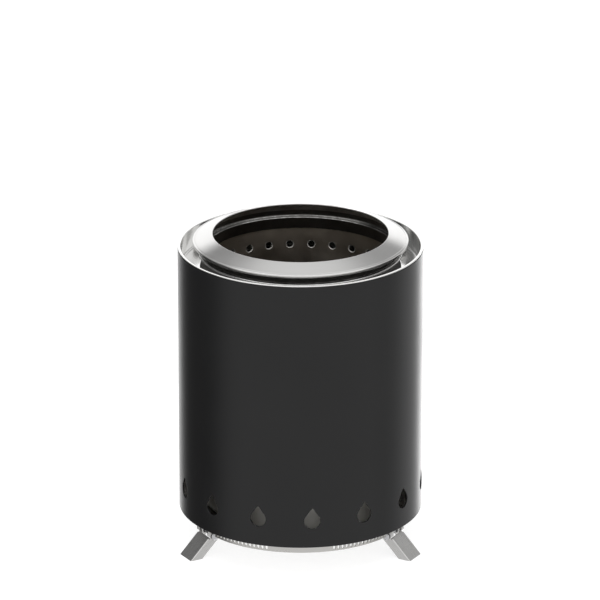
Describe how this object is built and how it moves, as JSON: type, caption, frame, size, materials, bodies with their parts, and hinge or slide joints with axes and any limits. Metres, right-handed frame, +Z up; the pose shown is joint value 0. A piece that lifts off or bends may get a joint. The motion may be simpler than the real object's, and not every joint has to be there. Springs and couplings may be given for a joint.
{
  "type": "tabletop smokeless wood stove",
  "caption": "Small double-walled wood stove: black drum with teardrop air holes, steel flame ring, lift-out grate and ash tray, and folding channel legs.",
  "frame": {"origin": "On the ground under the middle of the whole stove's box. The drum's axis is the vertical line at x = 0, y = -2.8935 mm, in front of the origin because the rear leg reaches further out than the drum.", "axes": "+Z up along the drum's axis; -Y is the front, midway between the two front legs; +X is to the right seen from the front."},
  "size_m": [0.13, 0.1358, 0.1712],
  "materials": {
    "black_coat": "satin heat-resistant black coating with a fine orange peel",
    "polished_stainless": "polished stainless steel sheet",
    "satin_stainless": "satin stainless steel sheet with fine rolling lines",
    "heat_grey_stainless": "plain stainless steel sheet, greyed by heat",
    "zinc_plate": "dull bright zinc plate"
  },
  "bodies": {
    "stove_body": {"outer_shell": "black_coat", "rim_channel": "polished_stainless", "burn_chamber": "heat_grey_stainless", "grate_support": "heat_grey_stainless", "base_pan": "satin_stainless", "base_band": "polished_stainless", "leg_bracket_front_left": "satin_stainless", "leg_pin_front_left": "zinc_plate", "rivet_front_left_inner": "zinc_plate", "rivet_front_left_outer": "zinc_plate", "leg_bracket_front_right": "satin_stainless", "leg_pin_front_right": "zinc_plate", "rivet_front_right_inner": "zinc_plate", "rivet_front_right_outer": "zinc_plate", "leg_bracket_rear": "satin_stainless", "leg_pin_rear": "zinc_plate", "rivet_rear_inner": "zinc_plate", "rivet_rear_outer": "zinc_plate"},
    "flame_ring": {"flame_ring": "satin_stainless"},
    "ash_tray": {"ash_tray": "heat_grey_stainless"},
    "fire_grate": {"fire_grate": "heat_grey_stainless"},
    "leg_front_left": {"leg_front_left": "satin_stainless"},
    "leg_front_right": {"leg_front_right": "satin_stainless"},
    "leg_rear": {"leg_rear": "satin_stainless"}
  },
  "joints": [
    {"name": "flame_ring_lift", "type": "slide", "parent": "stove_body", "child": "flame_ring", "axis": [0, 0, 1], "range_m": [0, 0.06]},
    {"name": "ash_tray_lift", "type": "slide", "parent": "stove_body", "child": "ash_tray", "axis": [0, 0, 1], "range_m": [0, 0.16]},
    {"name": "fire_grate_lift", "type": "slide", "parent": "ash_tray", "child": "fire_grate", "axis": [0, 0, 1], "range_m": [0, 0.13]},
    {"name": "leg_front_left_fold", "type": "hinge", "parent": "stove_body", "child": "leg_front_left", "pos_m": [-0.04884, -0.03109, 0.0117], "axis": [0.5, -0.866, 0], "range_deg": [0, 135]},
    {"name": "leg_front_right_fold", "type": "hinge", "parent": "stove_body", "child": "leg_front_right", "pos_m": [0.04884, -0.03109, 0.0117], "axis": [0.5, 0.866, 0], "range_deg": [0, 135]},
    {"name": "leg_rear_fold", "type": "hinge", "parent": "stove_body", "child": "leg_rear", "pos_m": [0, 0.05351, 0.0117], "axis": [-1, 0, 0], "range_deg": [0, 135]}
  ]
}
